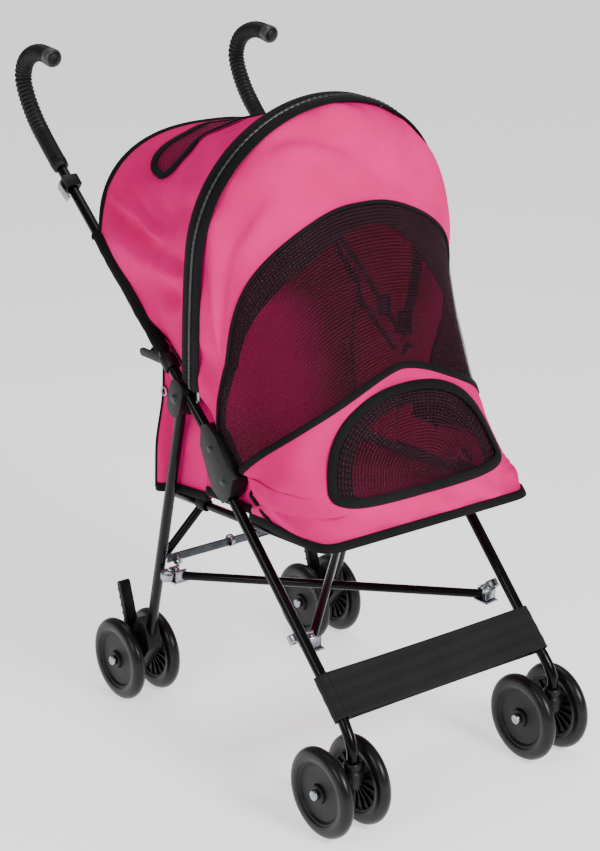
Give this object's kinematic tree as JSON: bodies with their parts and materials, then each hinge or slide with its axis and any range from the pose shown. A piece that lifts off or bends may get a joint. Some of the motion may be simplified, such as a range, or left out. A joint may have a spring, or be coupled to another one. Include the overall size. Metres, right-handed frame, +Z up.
{
  "type": "pet stroller",
  "caption": "Folding pet stroller: hooked handles, side-closing tube frame on paired wheels, zipped fabric cabin with mesh windows and a fabric footrest band.",
  "frame": {"origin": "on the floor, at the middle of the object's width and length", "axes": "+Z up, -Y towards the front wheels, +X towards the pusher's left"},
  "size_m": [0.4574, 0.833, 0.9777],
  "materials": {
    "tube": "gloss black powder coat",
    "foam": "matt ribbed foam",
    "tyre": "smooth satin",
    "hub": "moulded black",
    "zinc": "zinc plated",
    "steel": "dull grey flat steel",
    "pink_fabric": "woven polyester",
    "black_fabric": "woven polyester",
    "plastic": "moulded black",
    "mesh_fabric": "open black mesh",
    "webbing": "black binding and webbing",
    "zip": "black coil zip"
  },
  "bodies": {
    "main_frame": {"handle_tube_right": "tube", "grip_right": "foam", "front_leg_right": "tube", "side_joint_right": "plastic", "lock_housing_right": "plastic", "front_bracket_right": "zinc", "cabin_shell": "pink_fabric", "seat_rail_right": "tube", "footrest": "black_fabric", "hook_clip": "plastic"},
    "left_frame": {"handle_tube_left": "tube", "grip_left": "foam", "front_leg_left": "tube", "side_joint_left": "plastic", "lock_housing_left": "plastic", "front_bracket_left": "zinc", "seat_rail_left": "tube"},
    "rear_leg_right": {"rear_leg_right": "tube", "rear_axle_housing_right": "plastic", "rear_bracket_right": "zinc", "axle_rear_right": "zinc"},
    "lower_brace_right": {"lower_brace_right": "tube"},
    "rear_brace_right": {"rear_brace_right": "tube"},
    "slide_collar_right": {"slide_collar_right": "plastic"},
    "lock_link_right": {"lock_link_right": "steel"},
    "brake_lever_right": {"brake_lever_right": "plastic"},
    "caster_right": {"caster_fork_right": "plastic", "axle_front_right": "zinc"},
    "wheel_front_right_a": {"tyre_front_right_a": "tyre", "hub_front_right_a": "hub"},
    "wheel_rear_right_a": {"tyre_rear_right_a": "tyre", "hub_rear_right_a": "hub"},
    "wheel_front_right_b": {"tyre_front_right_b": "tyre", "hub_front_right_b": "hub"},
    "wheel_rear_right_b": {"tyre_rear_right_b": "tyre", "hub_rear_right_b": "hub"},
    "rear_leg_left": {"rear_leg_left": "tube", "rear_axle_housing_left": "plastic", "rear_bracket_left": "zinc", "axle_rear_left": "zinc"},
    "lower_brace_left": {"lower_brace_left": "tube"},
    "rear_brace_left": {"rear_brace_left": "tube"},
    "slide_collar_left": {"slide_collar_left": "plastic"},
    "lock_link_left": {"lock_link_left": "steel", "lock_pedal": "plastic"},
    "brake_lever_left": {"brake_lever_left": "plastic"},
    "caster_left": {"caster_fork_left": "plastic", "axle_front_left": "zinc"},
    "wheel_front_left_a": {"tyre_front_left_a": "tyre", "hub_front_left_a": "hub"},
    "wheel_rear_left_a": {"tyre_rear_left_a": "tyre", "hub_rear_left_a": "hub"},
    "wheel_front_left_b": {"tyre_front_left_b": "tyre", "hub_front_left_b": "hub"},
    "wheel_rear_left_b": {"tyre_rear_left_b": "tyre", "hub_rear_left_b": "hub"},
    "front_canopy": {"front_canopy": "pink_fabric"},
    "retaining_hook": {"retaining_hook": "zinc"}
  },
  "joints": [
    {"name": "side_fold", "type": "slide", "parent": "main_frame", "child": "left_frame", "axis": [1, 0, 0], "range_m": [-0.225, 0], "deforming": ["cabin_shell", "front_canopy", "footrest"]},
    {"name": "rear_leg_right_fold", "type": "hinge", "parent": "main_frame", "child": "rear_leg_right", "pos_m": [-0.18489, 0.007, 0.51], "axis": [1, 0, 0], "range_deg": [0, 25]},
    {"name": "lower_brace_right_swing", "type": "hinge", "parent": "main_frame", "child": "lower_brace_right", "pos_m": [-0.155, -0.255, 0.235], "axis": [0.1522, -0.146, 0.9775], "range_deg": [0, 33.34]},
    {"name": "rear_leg_left_fold", "type": "hinge", "parent": "left_frame", "child": "rear_leg_left", "pos_m": [0.18489, 0.007, 0.51], "axis": [1, 0, 0], "range_deg": [0, 25]},
    {"name": "lower_brace_left_swing", "type": "hinge", "parent": "left_frame", "child": "lower_brace_left", "pos_m": [0.155, -0.255, 0.221], "axis": [0.1533, 0.1472, -0.9772], "range_deg": [0, 33.49]},
    {"name": "rear_brace_right_swing", "type": "hinge", "parent": "rear_leg_right", "child": "rear_brace_right", "pos_m": [-0.155, 0.115, 0.236], "axis": [-0.6197, -0.5469, 0.5629], "range_deg": [0, 46.61]},
    {"name": "collar_left_slide", "type": "slide", "parent": "left_frame", "child": "slide_collar_left", "axis": [0.0133, 0.7574, 0.6528], "range_m": [0, 0.2847]},
    {"name": "rear_brace_left_swing", "type": "hinge", "parent": "rear_leg_left", "child": "rear_brace_left", "pos_m": [0.155, 0.1302, 0.236], "axis": [-0.6256, 0.5327, -0.57], "range_deg": [0, 47.18]},
    {"name": "collar_right_slide", "type": "slide", "parent": "main_frame", "child": "slide_collar_right", "axis": [-0.0133, 0.7574, 0.6528], "range_m": [0, 0.2924]},
    {"name": "lock_link_right_fold", "type": "hinge", "parent": "rear_leg_right", "child": "lock_link_right", "pos_m": [-0.155, 0.09711, 0.23882], "axis": [0, -0.9594, -0.2819], "range_deg": [0, 74.1]},
    {"name": "lock_link_left_fold", "type": "hinge", "parent": "rear_leg_left", "child": "lock_link_left", "pos_m": [0.155, 0.09711, 0.23882], "axis": [0, 0.9594, 0.2819], "range_deg": [0, 74.1]},
    {"name": "brake_right_press", "type": "hinge", "parent": "rear_leg_right", "child": "brake_lever_right", "pos_m": [-0.1762, 0.174, 0.092], "axis": [1, 0, 0], "range_deg": [-35, 0]},
    {"name": "caster_right_swivel", "type": "hinge", "parent": "main_frame", "child": "caster_right", "pos_m": [-0.1814, -0.379, 0.09], "axis": [0, 0, 1], "continuous": true},
    {"name": "wheel_front_right_a_spin", "type": "hinge", "parent": "caster_right", "child": "wheel_front_right_a", "pos_m": [-0.2127, -0.353, 0.064], "axis": [1, 0, 0], "continuous": true},
    {"name": "wheel_rear_right_a_spin", "type": "hinge", "parent": "rear_leg_right", "child": "wheel_rear_right_a", "pos_m": [-0.2075, 0.1657, 0.064], "axis": [1, 0, 0], "continuous": true},
    {"name": "wheel_front_right_b_spin", "type": "hinge", "parent": "caster_right", "child": "wheel_front_right_b", "pos_m": [-0.1501, -0.353, 0.064], "axis": [1, 0, 0], "continuous": true},
    {"name": "wheel_rear_right_b_spin", "type": "hinge", "parent": "rear_leg_right", "child": "wheel_rear_right_b", "pos_m": [-0.1449, 0.1657, 0.064], "axis": [1, 0, 0], "continuous": true},
    {"name": "brake_left_press", "type": "hinge", "parent": "rear_leg_left", "child": "brake_lever_left", "pos_m": [0.1762, 0.174, 0.092], "axis": [1, 0, 0], "range_deg": [-35, 0]},
    {"name": "caster_left_swivel", "type": "hinge", "parent": "left_frame", "child": "caster_left", "pos_m": [0.1814, -0.379, 0.09], "axis": [0, 0, 1], "continuous": true},
    {"name": "wheel_front_left_a_spin", "type": "hinge", "parent": "caster_left", "child": "wheel_front_left_a", "pos_m": [0.1501, -0.353, 0.064], "axis": [1, 0, 0], "continuous": true},
    {"name": "wheel_rear_left_a_spin", "type": "hinge", "parent": "rear_leg_left", "child": "wheel_rear_left_a", "pos_m": [0.1449, 0.1657, 0.064], "axis": [1, 0, 0], "continuous": true},
    {"name": "wheel_front_left_b_spin", "type": "hinge", "parent": "caster_left", "child": "wheel_front_left_b", "pos_m": [0.2127, -0.353, 0.064], "axis": [1, 0, 0], "continuous": true},
    {"name": "wheel_rear_left_b_spin", "type": "hinge", "parent": "rear_leg_left", "child": "wheel_rear_left_b", "pos_m": [0.2075, 0.1657, 0.064], "axis": [1, 0, 0], "continuous": true},
    {"name": "canopy_open", "type": "hinge", "parent": "main_frame", "child": "front_canopy", "pos_m": [0, -0.315, 0.39], "axis": [1, 0, 0], "range_deg": [0, 100]},
    {"name": "hook_turn", "type": "hinge", "parent": "main_frame", "child": "retaining_hook", "pos_m": [-0.20438, 0.283, 0.7743], "axis": [1, 0, 0], "range_deg": [0, 60]}
  ],
  "couplings": [
    {"joint": "rear_leg_right_fold", "follows": "side_fold", "rad_per_m": -1.9388},
    {"joint": "lower_brace_right_swing", "follows": "side_fold", "rad_per_m": -2.585},
    {"joint": "rear_leg_left_fold", "follows": "side_fold", "rad_per_m": -1.9388},
    {"joint": "lower_brace_left_swing", "follows": "side_fold", "rad_per_m": -2.5972},
    {"joint": "rear_brace_right_swing", "follows": "side_fold", "rad_per_m": -3.6149},
    {"joint": "collar_left_slide", "follows": "side_fold", "ratio": -1.2651},
    {"joint": "rear_brace_left_swing", "follows": "side_fold", "rad_per_m": -3.6592},
    {"joint": "collar_right_slide", "follows": "side_fold", "ratio": -1.2991},
    {"joint": "lock_link_right_fold", "follows": "side_fold", "rad_per_m": -5.7469},
    {"joint": "lock_link_left_fold", "follows": "side_fold", "rad_per_m": -5.7469}
  ]
}
